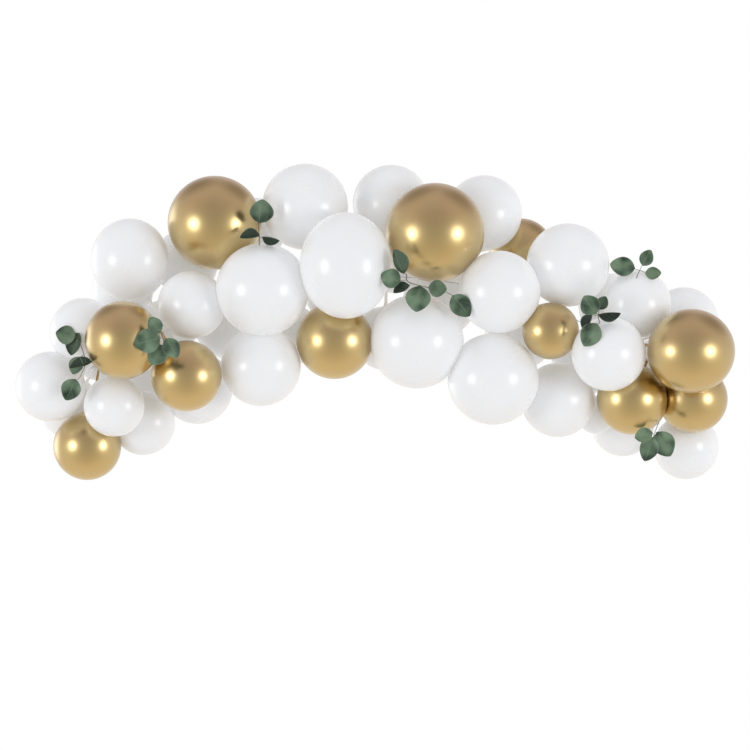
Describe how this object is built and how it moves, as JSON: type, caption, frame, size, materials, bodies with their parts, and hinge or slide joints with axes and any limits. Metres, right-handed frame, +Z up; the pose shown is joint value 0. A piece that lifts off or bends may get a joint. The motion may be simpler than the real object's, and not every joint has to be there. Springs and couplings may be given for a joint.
{
  "type": "balloon garland",
  "caption": "Arched hanging garland of white and gold balloons tied to one strip, with small sprigs of round leaves laid over them.",
  "frame": {"origin": "middle of the strip's outer face at the crown of the arch, where the garland hangs", "axes": "+X along the garland to the viewer's right, +Y from the front to the back, +Z up"},
  "size_m": [1.9927, 0.6403, 0.876],
  "materials": {
    "white_latex": "soft sheen",
    "gold_latex": "metallic sheen",
    "leaf_green": "matte, waxy",
    "strip_plastic": "smooth"
  },
  "bodies": {
    "root": {"gold_balloon_01": "gold_latex", "gold_balloon_02": "gold_latex", "gold_balloon_03": "gold_latex", "gold_balloon_04": "gold_latex", "gold_balloon_05": "gold_latex", "gold_balloon_06": "gold_latex", "gold_balloon_07": "gold_latex", "gold_balloon_08": "gold_latex", "gold_balloon_09": "gold_latex", "gold_balloon_10": "gold_latex", "gold_balloon_11": "gold_latex", "sprig_1": "leaf_green", "sprig_2": "leaf_green", "sprig_3": "leaf_green", "sprig_4": "leaf_green", "sprig_5": "leaf_green", "sprig_6": "leaf_green", "sprig_7": "leaf_green", "strip": "strip_plastic", "white_balloon_01": "white_latex", "white_balloon_02": "white_latex", "white_balloon_03": "white_latex", "white_balloon_04": "white_latex", "white_balloon_05": "white_latex", "white_balloon_06": "white_latex", "white_balloon_07": "white_latex", "white_balloon_08": "white_latex", "white_balloon_09": "white_latex", "white_balloon_10": "white_latex", "white_balloon_11": "white_latex", "white_balloon_12": "white_latex", "white_balloon_13": "white_latex", "white_balloon_14": "white_latex", "white_balloon_15": "white_latex", "white_balloon_16": "white_latex", "white_balloon_17": "white_latex", "white_balloon_18": "white_latex", "white_balloon_19": "white_latex", "white_balloon_20": "white_latex", "white_balloon_21": "white_latex", "white_balloon_22": "white_latex", "white_balloon_23": "white_latex", "white_balloon_24": "white_latex", "white_balloon_25": "white_latex", "white_balloon_26": "white_latex", "white_balloon_27": "white_latex", "white_balloon_28": "white_latex", "white_balloon_29": "white_latex", "white_balloon_30": "white_latex", "white_balloon_31": "white_latex", "white_balloon_32": "white_latex", "white_balloon_33": "white_latex", "white_balloon_34": "white_latex", "white_balloon_35": "white_latex", "white_balloon_36": "white_latex", "white_balloon_37": "white_latex", "white_balloon_38": "white_latex", "white_balloon_39": "white_latex", "white_balloon_40": "white_latex", "white_balloon_41": "white_latex"}
  },
  "joints": []
}
